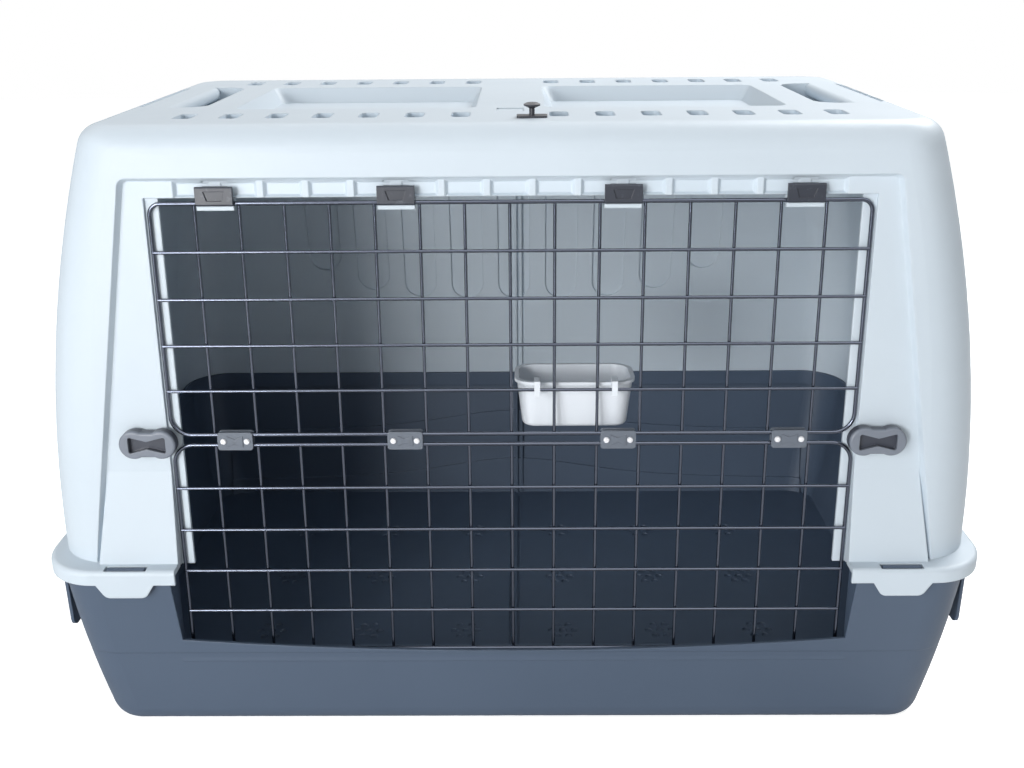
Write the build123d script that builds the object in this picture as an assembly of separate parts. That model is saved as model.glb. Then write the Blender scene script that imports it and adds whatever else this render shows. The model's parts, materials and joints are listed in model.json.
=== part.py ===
import os
from math import cos, radians, sin, tan

from build123d import *

# A large pet carrier: two moulded half shells joined at a flange, with a wide
# folding wire door in front. X is to the right, Y to the rear, Z up, all in mm.
# The origin is on the floor, under the middle of the flange.

# Overall sizes
length, depth = 1000.0, 600.0
roof_z = 655.0
flange_z = 200.0
flange_thick = 6.0
lip_low_z = 190.0
flange_radius = 60.0
wall = 3.5
base_wall = 4.0

# The front is one leaning plane, measured from the door's top wire
front_lean = 3.15
door_top_z = 582.0
door_top_y = -251.7
face_out = 7.7
recess_floor = 0.7
foot_out = 11.4

# Door grid
cell_wide, cell_tall = 43.5, 47.3
cells_across, cells_per_half = 16, 5
fold_gap = 11.2
frame_r, wire_r = 2.0, 1.6
top_corner_r, fold_corner_r = 11.0, 20.0

# Doorway
door_half = 352.5
stop_half = 339.0
sill_half = 356.0
lintel_low = 5.5

# Small parts
clip_x = (-282.75, -108.75, 108.75, 282.75)
clip_wide = 36.0
knob_x = 370.0
pin_x, pin_y = 22.0, -200.0
bowl_x, bowl_wide, bowl_deep = 65.25, 124.0, 70.0
guide_x = (1.5, 9.0)

half_tall = cells_per_half * cell_tall
half_door = cells_across * cell_wide / 2
fold_v = -half_tall - fold_gap / 2
lean = tan(radians(front_lean))
door = Plane(
    origin=(0, door_top_y, door_top_z),
    x_dir=(1, 0, 0),
    z_dir=(0, -cos(radians(front_lean)), sin(radians(front_lean))),
)


def front_y(z, out=face_out):
    """Y of the plane that lies a distance out in front of the door, at height z."""
    return door_top_y - out / cos(radians(front_lean)) + (z - door_top_z) * lean


def door_v(z):
    """Distance up the door from its top wire, at height z."""
    return (z - door_top_z) / cos(radians(front_lean))


def box(x0, x1, y0, y1, z0, z1):
    """Upright block between six limits."""
    return Pos((x0 + x1) / 2, (y0 + y1) / 2, (z0 + z1) / 2) * Box(x1 - x0, y1 - y0, z1 - z0)


def door_box(x0, x1, v0, v1, w0, w1):
    """Block in the door's own frame: across, up from the top wire, out to the front."""
    return door * box(x0, x1, v0, v1, w0, w1)


def rounded_slab(x, y0, y1, radius, z0, z1):
    """Upright slab with rounded corners, as wide as twice x."""
    outline = Pos(0, (y0 + y1) / 2, z0) * RectangleRounded(2 * x, y1 - y0, radius)
    return extrude(outline, z1 - z0)


def tub(levels, inset=0.0):
    """Hull through rounded rectangles, each given as height, half width, front, rear, radius."""
    sections = []
    for z, x, y0, y1, radius in levels:
        outline = RectangleRounded(2 * (x - inset), y1 - y0 - 2 * inset, radius - inset)
        sections.append(Pos(0, (y0 + y1) / 2, z) * outline)
    return loft(sections)


def mirrored(shape):
    """The shape and its mirror image across the middle."""
    return [shape, mirror(shape, about=Plane.YZ)]


def upper_width(z):
    """Half width of the upper shell, steep at the flange and leaning in above it."""
    return 489 - 0.0357 * (z - 208) - 0.000381 * (z - 208) * (z - 320)


def upper_rear(z):
    """Rear face of the upper shell."""
    return 281 - 0.08 * (z - 208) - 0.00021 * (z - 208) * (z - 320)


def upper_levels(heights):
    return [(z, upper_width(z), front_y(z), upper_rear(z), 62 - (z - 200) * 0.03) for z in heights]


def top_edges(solid, z):
    """Edges of a solid that lie at height z."""
    return [e for e in solid.edges() if abs(e.bounding_box().min.Z - z) < 0.5
            and abs(e.bounding_box().max.Z - z) < 0.5]


def recess_outline(grow, out, drop):
    """Trapezoid round the doorway, wider at the flange, on the plane a distance out."""
    top_v, low_v = 22.0, door_v(flange_z + flange_thick)
    top_x, low_x = 370.0, 437.0
    points = [(-low_x - grow, low_v - drop), (low_x + grow, low_v - drop),
              (top_x + grow, top_v + grow), (-top_x - grow, top_v + grow)]
    outline = make_face(Polyline(*points, close=True))
    corners = outline.vertices().sort_by(Axis.Y)[-2:]
    return door * (Pos(0, 0, out) * fillet(corners, 5 + grow))


# Roof: two trays, two rows of strap pockets, two grips
tray_x0, tray_x1, tray_y0, tray_y1, tray_deep = 36.0, 290.0, -122.0, 93.0, 17.0
pocket_rows = (-176.0, 148.0)
pocket_pitch, pocket_first, pockets_per_side = 46.1, 49.0, 7
grip_y0, grip_y1 = -100.0, 103.0


def tray_cut(sign):
    """Shallow tray with sloping sides."""
    middle = sign * (tray_x0 + tray_x1) / 2
    y = (tray_y0 + tray_y1) / 2
    wide, long = tray_x1 - tray_x0, tray_y1 - tray_y0
    mouth = Pos(middle, y, roof_z) * RectangleRounded(wide, long, 14)
    floor = Pos(middle, y, roof_z - tray_deep) * RectangleRounded(wide - 22, long - 22, 9)
    lid = Pos(middle, y, roof_z + 2) * RectangleRounded(wide + 4.4, long + 4.4, 15)
    return loft([floor, mouth, lid], ruled=True)


def roof_pockets():
    """Blind strap pockets in a front and a rear row."""
    pocket = extrude(RectangleRounded(19, 38, 6), 11)
    places = [sign * (pocket_first + pocket_pitch * i) for i in range(pockets_per_side)
              for sign in (-1, 1)]
    return [Pos(x, y, roof_z - 9) * pocket for y in pocket_rows for x in places]


def grip_cut():
    """Finger well of the right-hand grip."""
    outline = Pos(364, (grip_y0 + grip_y1) / 2) * RectangleRounded(76, grip_y1 - grip_y0, 24)
    return extrude(Pos(0, 0, roof_z - 26) * outline, 40)


def grip_bar():
    """Rounded bar that bridges the finger well, part of the moulding."""
    section = RectangleRounded(40, 15, 7)
    bar = extrude(Plane.XZ * section, grip_y1 - grip_y0 + 16)
    return Pos(381, grip_y1 + 8, roof_z - 7.5) * bar


def inner_flutes(hollow, deeper):
    """Upright flutes pressed into the inside of the rear wall, with rounded lower ends."""
    pitch, wide, count = 68.1, 45.4, 4
    strips = []
    for k in range(-count, count + 1):
        low = 336 + 45 * (abs(k) / count) ** 4
        outline = Pos(k * pitch, (low + 600) / 2) * RectangleRounded(wide, 600 - low, wide / 2 - 0.5)
        strips.append(extrude(Plane.XZ * outline, -400))
    return (Part() + strips) & (deeper - hollow)


def upper_shell():
    """Roof, walls, door surround and flange of the upper half."""
    heights = (flange_z + flange_thick, 320, 480, roof_z)
    outer = tub(upper_levels(heights))
    outer = fillet(top_edges(outer, roof_z), 26)
    hollow = tub(upper_levels((flange_z - 4, 320, 480, roof_z)), wall)
    hollow = Pos(0, 0, -wall) * fillet(top_edges(hollow, roof_z), 22)
    deeper = tub(upper_levels((flange_z - 4, 320, 480, roof_z)), wall - 2.4)

    surround = extrude(recess_outline(wall + 3, face_out, 8), -(face_out - recess_floor + wall)) & outer
    under_roof = mirrored(box(tray_x0 - 4, tray_x1 + 4, tray_y0 - 4, tray_y1 + 4,
                              roof_z - tray_deep - wall, roof_z - 3))
    under_roof += [box(-342, 342, y - 23, y + 23, roof_z - 9 - wall, roof_z - 3) for y in pocket_rows]
    well = extrude(Pos(364, (grip_y0 + grip_y1) / 2, roof_z - 26 - wall)
                   * RectangleRounded(83, grip_y1 - grip_y0 + 7, 26), 26) & outer
    under_roof += mirrored(well)

    flange = rounded_slab(length / 2, -depth / 2, depth / 2, flange_radius,
                          lip_low_z, flange_z + flange_thick)
    flange = fillet(top_edges(flange, flange_z + flange_thick), 5)
    flange -= rounded_slab(length / 2 - wall, wall - depth / 2, depth / 2 - wall,
                           flange_radius - wall, lip_low_z - 1, flange_z)
    tab = make_face(Polyline((373, 194), (439, 194), (427, 175), (385, 175), close=True))
    tab = fillet(tab.vertices().group_by(Axis.Y)[0], 9)
    tab = Pos(0, wall - depth / 2, 0) * extrude(Plane.XZ * tab, wall)
    shell = (outer - hollow) + surround
    shell = shell + [flange - hollow] + mirrored(tab)
    shell += under_roof

    shell -= loft([recess_outline(0, recess_floor, 0), recess_outline(3, face_out, 0)], ruled=True)
    shell -= extrude(recess_outline(3, face_out, 0), 20)
    shell += panel_foot()
    low_v, high_v = door_v(lip_low_z - 2), lintel_low
    frame_back = -6.6
    jamb = door_box(stop_half, sill_half + 1, door_v(flange_z), 22, frame_back, recess_floor)
    lintel = door_box(-sill_half, sill_half, high_v, 22 + wall, frame_back, recess_floor)
    shell += mirrored(jamb) + [lintel]
    shell -= door_box(-stop_half, stop_half, low_v - 20, high_v, -60, 60)
    shell -= door_box(-door_half, door_half, low_v - 20, high_v, -2.4, 60)
    shell -= lintel_pockets()
    shell += [door_hook(x) for x in clip_x]
    shell -= mirrored(door * Pos(knob_x, fold_v, -20) * extrude(Circle(4.05), 40))

    shell -= [tray_cut(1), tray_cut(-1)]
    shell -= roof_pockets()
    shell -= mirrored(grip_cut())
    shell += mirrored(grip_bar())
    shell -= box(-14, 14, -152, -124, roof_z - 1.2, roof_z + 1)
    shell -= Pos(pin_x, pin_y, roof_z - 20) * extrude(Circle(2.75), 30)
    shell -= mirrored(box(383, 427, -297, -288, flange_z - 1, flange_z + 20))
    shell -= inner_flutes(hollow, deeper)
    guides = hollow - tub(upper_levels((flange_z - 4, 320, 480, roof_z)), wall + 4)
    shell += [box(x, x + 2.5, 150, 300, 222, 610) & guides for x in guide_x]
    return shell


def panel_foot():
    """Lower end of the sunk panel, which comes forward towards the flange."""
    low, high = door_v(flange_z + 2), door_v(306)
    outline = make_face(Polyline((low, -2.8), (low, foot_out), (high, recess_floor), (high, -2.8), close=True))
    wedge = extrude(Plane(origin=(-450, 0, 0), x_dir=(0, 1, 0), z_dir=(1, 0, 0)) * outline, 900)
    return (door * wedge) & extrude(recess_outline(0, -3, 8), 20)


def lintel_pockets():
    """Row of bevelled pockets along the lintel, with slots that guide the four keepers."""
    cuts = []
    floor = Rectangle(cell_wide - 12, 11)
    mouth = Rectangle(cell_wide - 6, 16)
    for k in range(cells_across - 1):
        x = (k - (cells_across - 2) / 2) * cell_wide
        if min(abs(x - c) for c in clip_x) < 1:
            continue
        cuts.append(door * loft([Pos(x, 13.5, recess_floor - 4) * floor,
                                 Pos(x, 13.5, recess_floor + 0.1) * mouth]))
    cuts += [door_box(x - 12.2, x + 12.2, 9, 21.5, -2.4, recess_floor + 1) for x in clip_x]
    return cuts


def door_hook(x):
    """Fixed hook below the lintel that carries the door's top wire."""
    half = clip_wide / 2
    back = door_box(x - half, x + half, -6.4, lintel_low, -6.6, -2.5)
    shelf = door_box(x - half, x + half, -6.4, -2.2, -6.6, 3.2)
    return back + shelf


# Lower shell
floor_z = 24.0
foot_high = 20.0


def lower_levels(heights):
    rise = [(z, z / 190) for z in heights]
    return [(z, 452 + 34 * t + 16 * t * (1 - t), -281 - 11 * t, 266 + 17 * t, 40 + 6 * t) for z, t in rise]


def proud_levels(heights):
    """Upper band of the lower shell, a little forward of the hull below it."""
    return [(z, x - 1, y0 - 1, 200, radius) for z, x, y0, _, radius in lower_levels(heights)]


def sill_cut():
    """Space above the sill, whose top sags between its ends."""
    low, high = door_v(100.5), door_v(115.5)
    top = door_v(flange_z + 5)
    curve = ThreePointArc((-sill_half, high), (0, low), (sill_half, high))
    sides = Polyline((sill_half, high), (sill_half + 4, door_v(180)), (sill_half + 4, top),
                     (-sill_half - 4, top), (-sill_half - 4, door_v(180)), (-sill_half, high))
    return door * extrude(Pos(0, 0, -60) * make_face(curve + sides), 110)


def bell(x, high, low, wide):
    """Height of a low swell across the rear wall."""
    return low + (high - low) / (1 + (x / wide) ** 2) ** 1.6


def swell_step(high, low, wide, skin):
    """Part of a skin inside the rear wall that lies below a swelling line."""
    points = [(x, bell(x, high, low, wide)) for x in range(-440, 441, 40)]
    line = Spline(*points)
    rest = Polyline(points[-1], (points[-1][0], 23), (points[0][0], 23), points[0])
    return extrude(Plane.XZ * make_face(line + rest), -400) & skin


def lower_shell():
    """Floor, walls, sill channel, flange and side grips of the lower half."""
    top = flange_z - 4
    heights, band = (0, 65, 130, top), (99, 145, top)
    outer = tub(lower_levels(heights))
    outer = fillet(top_edges(outer, 0), 25)
    proud = tub(proud_levels(band))
    sill_block = door_box(-sill_half - 4, sill_half + 4, door_v(87), door_v(98), -9, face_out)
    hollow = tub(lower_levels(heights), base_wall) & box(-600, 600, -400, 400, floor_z, top + 20)
    proud_hollow = tub(proud_levels(band), base_wall) & box(-600, 600, -400, 400, 103, top + 20)
    skins = [hollow - tub(lower_levels(heights), base_wall + g) for g in (2.5, 5.0)]
    guide_skin = hollow - tub(lower_levels(heights), base_wall + 8.0)

    shell = outer + [proud]
    shell += rounded_slab(length / 2 - 4.5, 4.5 - depth / 2, depth / 2 - 4.5,
                          flange_radius - 4.5, flange_z - 5, flange_z)
    rim = rounded_slab(484.4, -276, 276.4, 56, flange_z - 1, 217)
    rim -= box(-600, 600, -400, -215, flange_z, 230)
    shell += rim
    shell -= [hollow, proud_hollow]
    shell -= rounded_slab(480.4, -272, 272.4, 52, top - 3, 230)
    shell += sill_block
    shell -= sill_cut()
    channel = door_box(-sill_half, sill_half, door_v(91.5), door_v(130), -5.0, face_out - base_wall)
    above = door_box(-sill_half, sill_half, door_v(98), door_v(215), -60, face_out - base_wall)
    shell -= [channel, above]
    cheek = door_box(sill_half + 4, sill_half + 8, door_v(92), door_v(flange_z - 2), -9, 30)
    shell += mirrored(cheek & (outer + proud))

    skirt = box(491, 494.5, -243, 243, 104, flange_z - 3)
    skirt = fillet(skirt.edges().filter_by(Axis.X).sort_by(Axis.Z)[:2], 10)
    tongue = box(385, 425, -295.5, -290, flange_z - 3, flange_z + 6)
    shell += mirrored(skirt) + mirrored(tongue)

    shell -= rounded_slab(405, -238, 222, 44, -1, foot_high)
    shell += [swell_step(155, 122, 190, skins[0]), swell_step(79, 44, 190, skins[1])]
    shell += [box(x, x + 2.5, 150, 300, floor_z - 1, 190) & guide_skin for x in guide_x]
    shell -= floor_marks()
    return shell


def floor_marks():
    """Two long grooves and clusters of shallow dimples in the floor."""
    marks = [box(-6.5, -3.5, -245, 250, floor_z - 1.5, floor_z + 1),
             box(3.5, 6.5, -245, 250, floor_z - 1.5, floor_z + 1)]
    dimple = extrude(Circle(4.5), 4)
    for cx in (-300, -180, -60, 60, 180, 300):
        for cy in (-130, 0, 130):
            marks.append(Pos(cx, cy, floor_z - 1.5) * dimple)
            for k in range(6):
                a = radians(60 * k)
                marks.append(Pos(cx + 14 * cos(a), cy + 14 * sin(a), floor_z - 1.5) * dimple)
    return marks


# Door halves
def rod(x0, v0, x1, v1, w, radius):
    """Straight wire between two places on the door."""
    path = Line((x0, v0, w), (x1, v1, w))
    return door * sweep(Plane(origin=path @ 0, z_dir=path % 0) * Circle(radius), path)


def wire_frame(v_top, v_low, r_top, r_low):
    """Closed frame of one door half, one bent wire."""
    outline = Pos(0, (v_top + v_low) / 2) * Rectangle(2 * half_door, v_top - v_low)
    corners = outline.vertices().group_by(Axis.Y)
    outline = fillet(corners[-1], r_top)
    outline = fillet(outline.vertices().group_by(Axis.Y)[0], r_low)
    path = outline.wire()
    return door * sweep(Plane(origin=path @ 0, z_dir=path % 0) * Circle(frame_r), path)


def half_wires(v_top, frame):
    """Upright wires behind, cross wires in front, each ending on the frame."""
    v_low = v_top - half_tall
    uprights = [rod(k * cell_wide, v_low, k * cell_wide, v_top, -wire_r, wire_r)
                for k in range(1 - cells_across // 2, cells_across // 2)]
    crosses = [rod(-half_door, v_top - k * cell_tall, half_door, v_top - k * cell_tall, wire_r, wire_r)
               for k in range(1, cells_per_half)]
    return [u - frame for u in uprights], [c - frame for c in crosses]


def fold_plate(x, side):
    """Plate of a fold hinge; the front one carries a raised bow-tie."""
    inner, thick = 2.3, 2.6
    outline = RectangleRounded(clip_wide, 19, 3)
    holes = [Pos(dx, 0) * Circle(2.05) for dx in (-12, 12)]
    plate = extrude(outline - holes, thick)
    place = door * Pos(x, fold_v, inner if side > 0 else -inner - thick)
    if side > 0:
        half = Polyline((0, 2.2), (8, 5.5), (8, -5.5), (0, -2.2), (-8, -5.5), (-8, 5.5), close=True)
        plate += Pos(0, 0, thick) * extrude(make_face(half), 0.8)
    return place * plate


def fold_rivets():
    """All the rivets of the fold hinges, each a shank with two domed heads."""
    profile = Polyline((0, -7.2), (2.6, -6.6), (3.2, -5.1), (2.0, -5.1), (2.0, 5.1), (3.2, 5.1),
                       (2.6, 6.6), (0, 7.2), close=True)
    rivet = revolve(Plane.XZ * make_face(profile), Axis.Z)
    return [door * Pos(x + dx, fold_v, 0) * rivet for x in clip_x for dx in (-12, 12)]


def keeper(x):
    """Sliding keeper that closes the hook over the top wire."""
    half = clip_wide / 2
    body = box(x - half, x + half, -1.6, 16.5, 3.1, 6.8)
    body = chamfer(body.edges().filter_by(Axis.X).group_by(Axis.Z)[-1], 1.2)
    tongue = box(x - 12, x + 12, 9.3, 16.3, -2.1, 3.2)
    thumb = Polyline((x - 10, 12), (x + 10, 12), (x + 7, 3), (x - 7, 3), close=True)
    dent = extrude(Pos(0, 0, 5.4) * make_face(thumb), 3)
    return door * (body + tongue - dent)


def latch_knob(sign):
    """Quarter-turn knob with two round ends, a waist and a sunk bow-tie grip."""
    ends = [Pos(dx, 0) * Circle(14.9) for dx in (-14, 14)]
    waist = Rectangle(26, 26)
    body = extrude(Sketch() + ends + waist, 12)
    body = fillet(body.edges().group_by(Axis.Z)[-1], 2.5)
    sunk = Polyline((0, 4), (19, 9), (19, -9), (0, -4), (-19, -9), (-19, 9), close=True)
    body -= Pos(0, 0, 6) * extrude(fillet(make_face(sunk).vertices(), 2), 10)
    body -= extrude(Circle(4.06), 5)
    return door * Pos(sign * knob_x, fold_v, 4.2) * body


def latch_pivot(sign):
    """Headed pivot pressed through the surround, on which the knob turns."""
    shank = Pos(0, 0, -5.2) * extrude(Circle(4.0), 14.2)
    head = Pos(0, 0, -6.6) * extrude(Circle(8), 3.0)
    collar = Pos(0, 0, recess_floor) * extrude(Circle(8), 3.2)
    return door * Pos(sign * knob_x, fold_v, 0) * (shank + head + collar)


def food_bowl():
    """Hook-on bowl, round-cornered and tapering, with a rolled rim and two hooks."""
    rim_v, low_v = door_v(398.0), door_v(347.5)
    front, rear = -7.0, -bowl_deep - 7.0
    tall = rim_v - low_v
    mid = (front + rear) / 2

    def level(v, inset):
        shape = RectangleRounded(bowl_wide - 2 * inset, bowl_deep - 2 * inset, 22 - inset)
        return Plane(origin=(bowl_x, v, mid), x_dir=(1, 0, 0), z_dir=(0, 1, 0)) * shape

    body = loft([level(low_v, 8), level(rim_v, 2)])
    body = fillet(body.edges().group_by(Axis.Y)[0], 5)
    rim = extrude(level(rim_v - 3.4, 0), 3.4)
    inside = loft([level(low_v + 2.6, 10.6), level(rim_v + 0.5, 4.6)])
    bowl = body + rim - inside
    row_v = -4 * cell_tall
    for dx in (-39, 39):
        arm = box(bowl_x + dx - 3, bowl_x + dx + 3, rim_v - 3.4, rim_v + 5, front - 3, 6.4)
        down = box(bowl_x + dx - 3, bowl_x + dx + 3, row_v - 6, rim_v + 5, 3.8, 6.4)
        arm -= box(bowl_x - 200, bowl_x + 200, rim_v - 20, row_v + wire_r + 0.3, front, 3.8)
        bowl += [arm, down]
    return door * bowl


def divider_pin():
    """Loose pull-out pin with a domed head."""
    profile = Polyline((0, -18), (2.2, -18), (2.7, -16), (2.7, 8.5), (8, 11), (8.3, 12.5), (5, 14), (0, 14.6),
                       close=True)
    return Pos(pin_x, pin_y, roof_z) * revolve(Plane.XZ * make_face(profile), Axis.Z)


def pin_plate():
    """Small plate on the roof that guides the pin."""
    outline = RectangleRounded(30, 17, 3) - Circle(2.75)
    return Pos(pin_x, pin_y, roof_z) * extrude(outline, 2)


def build():
    """Every separate piece under its node's name."""
    nodes = {"upper_shell": upper_shell(), "lower_shell": lower_shell()}
    tops = {"upper": 0.0, "lower": -half_tall - fold_gap}
    radii = {"upper": (top_corner_r, fold_corner_r), "lower": (fold_corner_r, top_corner_r)}
    for half, v_top in tops.items():
        frame = wire_frame(v_top, v_top - half_tall, *radii[half])
        uprights, crosses = half_wires(v_top, frame)
        nodes[half + "_door_frame"] = frame
        nodes[half + "_door_uprights"] = Compound(children=uprights)
        nodes[half + "_door_cross_wires"] = Compound(children=crosses)
    for number, x in enumerate(clip_x, 1):
        nodes[f"fold_hinge_front_{number}"] = fold_plate(x, 1)
        nodes[f"fold_hinge_back_{number}"] = fold_plate(x, -1)
        nodes[f"door_keeper_{number}"] = keeper(x)
    nodes["fold_hinge_rivets"] = Compound(children=fold_rivets())
    for name, sign in (("left", -1), ("right", 1)):
        nodes["latch_knob_" + name] = latch_knob(sign)
        nodes["latch_pivot_" + name] = latch_pivot(sign)
    nodes["food_bowl"] = food_bowl()
    nodes["divider_pin"] = divider_pin()
    nodes["pin_plate"] = pin_plate()
    return nodes


os.makedirs("parts", exist_ok=True)
for node_name, shape in build().items():
    export_step(shape, f"parts/{node_name}.step")
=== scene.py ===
import json
from math import cos, radians, sin

import bpy
import numpy as np
from mathutils import Matrix, Vector

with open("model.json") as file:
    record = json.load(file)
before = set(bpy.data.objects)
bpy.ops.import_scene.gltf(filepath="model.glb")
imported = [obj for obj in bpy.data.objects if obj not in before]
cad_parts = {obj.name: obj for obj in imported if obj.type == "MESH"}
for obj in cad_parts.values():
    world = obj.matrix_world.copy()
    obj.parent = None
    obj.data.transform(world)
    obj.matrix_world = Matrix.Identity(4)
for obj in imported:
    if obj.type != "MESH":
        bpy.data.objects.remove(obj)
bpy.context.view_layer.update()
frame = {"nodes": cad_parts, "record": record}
print("frame loaded:", len(frame["nodes"]), "nodes")


# a number inside a node tree; arithmetic on it adds Math nodes
class Signal:
    def __init__(self, graph, socket):
        self.graph, self.socket = graph, socket

    def __add__(self, other):
        return self.graph.math("ADD", self, other)

    def __sub__(self, other):
        return self.graph.math("SUBTRACT", self, other)

    def __rsub__(self, other):
        return self.graph.math("SUBTRACT", other, self)

    def __mul__(self, other):
        return self.graph.math("MULTIPLY", self, other)

    __radd__, __rmul__ = __add__, __mul__

    # 0 below low, 1 above high, a smooth step between
    def step(self, low, high):
        settings = {"interpolation_type": "SMOOTHSTEP"}
        values = {"Value": self, "From Min": low, "From Max": high}
        return self.graph.make("ShaderNodeMapRange", settings, values)["Result"]


# a node tree; every node comes from make
class Graph:
    def __init__(self, tree):
        self.tree = tree
        tree.nodes.clear()

    def fill(self, socket, value):
        if isinstance(value, Signal):
            self.tree.links.new(value.socket, socket)
        elif isinstance(value, (tuple, list)) and len(value) == 3 and socket.type == "RGBA":
            socket.default_value = (*value, 1)
        else:
            socket.default_value = value

    # a node of any type: its settings first, then the values or links of its sockets
    def make(self, kind, settings, values):
        node = self.tree.nodes.new(kind)
        for key, value in settings.items():
            setattr(node, key, value)
        for key, value in values.items():
            self.fill(node.inputs[key], value)
        return {s.name: Signal(self, s) for s in reversed(node.outputs) if s.enabled}

    def math(self, operation, *values):
        return self.make("ShaderNodeMath", {"operation": operation}, dict(enumerate(values)))["Value"]

    def mixColour(self, amount, low, high):
        return self.make("ShaderNodeMix", {"data_type": "RGBA"}, {0: amount, 6: low, 7: high})["Result"]

    # 1 for the camera's own rays, or for the ones that mirror-like surfaces send on
    def ray(self, kind):
        return self.make("ShaderNodeLightPath", {}, {})[f"Is {kind} Ray"]


# one material: a Principled shader and what feeds it
class Finish(Graph):
    def __init__(self, name):
        self.material = bpy.data.materials.new(name)
        self.material.use_nodes = True
        super().__init__(self.material.node_tree)
        self.place = self.make("ShaderNodeTexCoord", {}, {})["Object"]

    def noise(self, scale, detail=2.0, roughness=0.5, stretch=(1, 1, 1)):
        values = {0: self.place, 1: stretch}
        place = self.make("ShaderNodeVectorMath", {"operation": "MULTIPLY"}, values)["Vector"]
        values = {"Vector": place, "Scale": scale, "Detail": detail, "Roughness": roughness}
        return self.make("ShaderNodeTexNoise", {}, values)["Fac"]

    # surface relief of a depth in metres, over edges rounded by softEdge metres
    def relief(self, height, deep, softEdge):
        edge = self.make("ShaderNodeBevel", {"samples": 6}, {"Radius": softEdge})["Normal"]
        values = {"Height": height, "Distance": deep, "Normal": edge}
        return self.make("ShaderNodeBump", {}, values)["Normal"]

    def close(self, **sockets):
        values = {key.replace("_", " "): value for key, value in sockets.items()}
        shader = self.make("ShaderNodeBsdfPrincipled", {}, values)["BSDF"]
        self.make("ShaderNodeOutputMaterial", {}, {"Surface": shader})
        return self.material


# noise scales are in cycles per metre, and depths in metres
plasticLook = {
    "grainScale": 900, "grainRough": 0.6, "grainDeep": 0.00005,
    "cloudScale": 4, "cloud": (0.3, 0.7),
    "scuffScale": 6, "scuffDetail": 4, "scuffRough": 0.7, "scuffStretch": (1, 1, 14), "scuff": (0.62, 0.8),
    "sheenScale": 40, "sheenSpread": 0.1, "scuffSpread": 0.06, "IOR": 1.47,
}


# moulded plastic: spark-eroded grain, faint clouds of tone, scuffs and slightly uneven sheen
def mouldedPlastic(name, colour, shade, roughness, grain=1.0, softEdge=0.0012):
    look = plasticLook
    finish = Finish(name)
    cloud = finish.noise(look["cloudScale"], 3).step(*look["cloud"])
    sheen = finish.noise(look["sheenScale"], 3)
    scuffs = finish.noise(look["scuffScale"], look["scuffDetail"], look["scuffRough"], look["scuffStretch"])
    grains = finish.noise(look["grainScale"], 2, look["grainRough"])
    spread = look["sheenSpread"] * sheen + look["scuffSpread"] * scuffs.step(*look["scuff"])
    return finish.close(Base_Color=finish.mixColour(cloud, colour, shade), IOR=look["IOR"],
                        Roughness=roughness - look["sheenSpread"] / 2 + spread,
                        Normal=finish.relief(grains, look["grainDeep"] * grain, softEdge))


# small satin mouldings: a fine grain and a slightly uneven sheen
satinLook = {"grainScale": 700, "grainDeep": 0.00004, "sheenScale": 60, "sheenSpread": 0.12, "IOR": 1.5}


def satinPlastic(finish, tone, roughness, softEdge):
    look = satinLook
    sheen = finish.noise(look["sheenScale"], 3)
    grains = finish.noise(look["grainScale"], 2)
    return finish.close(Base_Color=tone, Roughness=roughness + look["sheenSpread"] * sheen, IOR=look["IOR"],
                        Normal=finish.relief(grains, look["grainDeep"], softEdge))


clipLook = {
    "keeper": (0.036, 0.042, 0.058), "plate": (0.135, 0.158, 0.195), "worn": (0.12, 0.138, 0.165),
    "between": (0.42, 0.50), "wornScale": 150, "wornFrom": 0.58, "wornTo": 0.85,
    "roughness": 0.3, "softEdge": 0.0008,
}


# satin clips: dark keepers at the top of the door, paler fold plates below
def clipPlastic():
    look = clipLook
    finish = Finish("darkPlastic")
    height = finish.make("ShaderNodeSeparateXYZ", {}, {"Vector": finish.place})["Z"]
    tone = finish.mixColour(height.step(*look["between"]), look["plate"], look["keeper"])
    wear = finish.noise(look["wornScale"], 3).step(look["wornFrom"], look["wornTo"])
    tone = finish.mixColour(wear, tone, look["worn"])
    return satinPlastic(finish, tone, look["roughness"], look["softEdge"])


# the door's top wire and the direction out of the door, which leans by 3.15 degrees
doorLean = radians(3.15)
doorPlane = {"top": (0.0, -0.2517, 0.582), "outward": (0.0, -cos(doorLean), sin(doorLean))}
# knob colours: painted shade for the sunk grip, and a lighter tone as a painted highlight for the rim
knobLook = {
    "rim": (0.19, 0.215, 0.26), "sunk": (0.05, 0.057, 0.078), "sunkBelow": 0.0110, "rimAbove": 0.0150,
    "roughness": 0.28, "softEdge": 0.0012,
}


# satin dark grey knobs, with painted shade in the sunk grip and a painted highlight on the rim; the height
# over the door is a dot product
def knobPlastic():
    look = knobLook
    finish = Finish("greyPlastic")
    values = {0: finish.place, 1: doorPlane["top"]}
    offset = finish.make("ShaderNodeVectorMath", {"operation": "SUBTRACT"}, values)["Vector"]
    values = {0: offset, 1: doorPlane["outward"]}
    over = finish.make("ShaderNodeVectorMath", {"operation": "DOT_PRODUCT"}, values)["Value"]
    # painted shade deep in the grip fades up to a painted highlight on the rim
    tone = finish.mixColour(over.step(look["sunkBelow"], look["rimAbove"]), look["sunk"], look["rim"])
    return satinPlastic(finish, tone, look["roughness"], look["softEdge"])


wireLook = {
    "colour": (0.092, 0.106, 0.142), "rippleScale": 60, "rippleDeep": 0.0002, "softEdge": 0.0004,
    "roughness": 0.15, "sheenScale": 25, "sheenSpread": 0.12, "coat": 0.5, "coatRough": 0.08,
}


# gloss dark coating: near-mirror, with a faint ripple from dipping
def coatedWire():
    look = wireLook
    finish = Finish("coatedWire")
    ripple = finish.noise(look["rippleScale"], 2)
    sheen = finish.noise(look["sheenScale"], 3)
    return finish.close(Base_Color=look["colour"], Metallic=1.0,
                        Roughness=look["roughness"] + look["sheenSpread"] * sheen,
                        Coat_Weight=look["coat"], Coat_Roughness=look["coatRough"],
                        Normal=finish.relief(ripple, look["rippleDeep"], look["softEdge"]))


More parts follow.
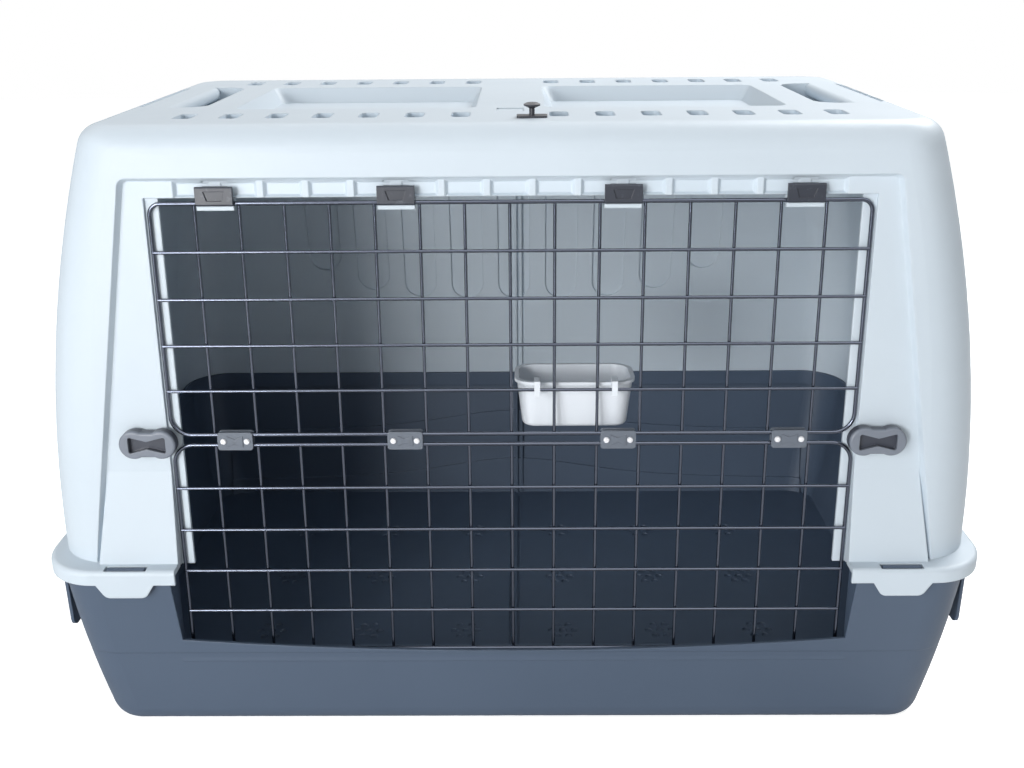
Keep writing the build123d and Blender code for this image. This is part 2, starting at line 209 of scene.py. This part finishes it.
# slot: name, colour, its shade, roughness, share of the grain, rounding of edges
plastics = {
    "upper_plastic": ("palePlastic", (0.60, 0.68, 0.75), (0.575, 0.655, 0.725), 0.45, 1.0, 0.002),
    "lower_plastic": ("slatePlastic", (0.080, 0.113, 0.168), (0.073, 0.104, 0.156), 0.47, 1.0, 0.002),
    "rivet_plastic": ("whiteRivet", (0.86, 0.87, 0.90), (0.83, 0.84, 0.88), 0.3, 0.3, 0.0005),
    "bowl_plastic": ("whiteBowl", (0.74, 0.79, 0.85), (0.71, 0.76, 0.82), 0.3, 0.3, 0.0012),
    "pin_plastic": ("pinPlastic", (0.045, 0.048, 0.058), (0.04, 0.043, 0.052), 0.3, 0.4, 0.0005),
}
finishes = {slot: mouldedPlastic(*values) for slot, values in plastics.items()}
finishes.update(clip_plastic=clipPlastic(), knob_plastic=knobPlastic(), door_wire=coatedWire())
for part in frame["record"]["subparts"]:
    node = frame["nodes"][part["node"]]
    node.data.materials.clear()
    node.data.materials.append(finishes[part["material_slot"]])
print("finishes made:", len(finishes))


# the photograph's view: place in metres, angles in degrees, focal length in widths of the picture
view = {"place": (0.01135, -1.319, 0.7961), "pitch": 20.59, "yaw": -0.57, "roll": 0.49, "focal": 1119.8 / 1024}

sensorWide = 36


def addCamera():
    pitch, yaw, roll = (radians(view[k]) for k in ("pitch", "yaw", "roll"))
    ahead = Vector((sin(yaw) * cos(pitch), cos(yaw) * cos(pitch), -sin(pitch)))
    across = Vector((cos(yaw), -sin(yaw), 0))
    down = ahead.cross(across)
    right = across * cos(roll) + down * sin(roll)
    up = across * sin(roll) - down * cos(roll)
    data = bpy.data.cameras.new("camera")
    data.sensor_fit, data.sensor_width = "HORIZONTAL", sensorWide
    data.lens = sensorWide * view["focal"]
    camera = bpy.data.objects.new("camera", data)
    turn = Matrix((right, up, -ahead)).transposed().to_4x4()
    camera.matrix_world = Matrix.Translation(view["place"]) @ turn
    bpy.context.collection.objects.link(camera)
    bpy.context.scene.camera = camera


# soft boxes: place, the point each faces, size, power
lamps = {
    "keyLamp": ((-2.3, -3.0, 1.7), (0.1, 0, 0.3), 1.3, 47),
    "doorLamp": ((-1.3, -3.2, 0.8), (0.1, 0, 0.35), 0.9, 50),
    "topLamp": ((1.4, 1.0, 2.2), (0.2, 0, 0.5), 1.4, 48),
}


def addLamps():
    for name, (place, aim, size, power) in lamps.items():
        data = bpy.data.lights.new(name, "AREA")
        data.shape, data.size, data.energy = "DISK", size, power
        lamp = bpy.data.objects.new(name, data)
        turn = (Vector(aim) - Vector(place)).to_track_quat("-Z", "Y")
        lamp.matrix_world = Matrix.Translation(place) @ turn.to_matrix().to_4x4()
        bpy.context.collection.objects.link(lamp)


stage = {"size": 6.0, "sky": 0.31, "gloss": 2.0, "glossFrom": 0.15, "glossTo": 0.7,
         "floor": (0.85, 0.85, 0.85), "floorRough": 0.9, "floorGlow": 0.72}


# white sky for the camera and softer light for the rest, with a bright high part that only reflections see;
# the floor glows a little for the camera alone
def addStage():
    world = bpy.data.worlds.new("studio")
    world.use_nodes = True
    graph = Graph(world.node_tree)
    direction = graph.make("ShaderNodeTexCoord", {}, {})["Generated"]
    height = graph.make("ShaderNodeSeparateXYZ", {}, {"Vector": direction})["Z"]
    gloss = stage["gloss"] * height.step(stage["glossFrom"], stage["glossTo"]) * graph.ray("Glossy")
    strength = stage["sky"] + (1 - stage["sky"]) * graph.ray("Camera") + gloss
    sky = graph.make("ShaderNodeBackground", {}, {"Color": (1, 1, 1), "Strength": strength})["Background"]
    graph.make("ShaderNodeOutputWorld", {}, {"Surface": sky})
    bpy.context.scene.world = world
    corners = stage["size"] * np.array([(-1, -1, 0), (1, -1, 0), (1, 1, 0), (-1, 1, 0)])
    mesh = bpy.data.meshes.new("floor")
    mesh.from_pydata(corners.tolist(), [], [(0, 1, 2, 3)])
    floor = bpy.data.objects.new("floor", mesh)
    bpy.context.collection.objects.link(floor)
    finish = Finish("floorWhite")
    glow = finish.mixColour(finish.ray("Camera"), (0, 0, 0), (stage["floorGlow"],) * 3)
    mesh.materials.append(finish.close(Base_Color=stage["floor"], Roughness=stage["floorRough"],
                                       Emission_Color=glow, Emission_Strength=1.0))


addCamera()
addLamps()
addStage()
bpy.context.scene.view_settings.view_transform = "Standard"
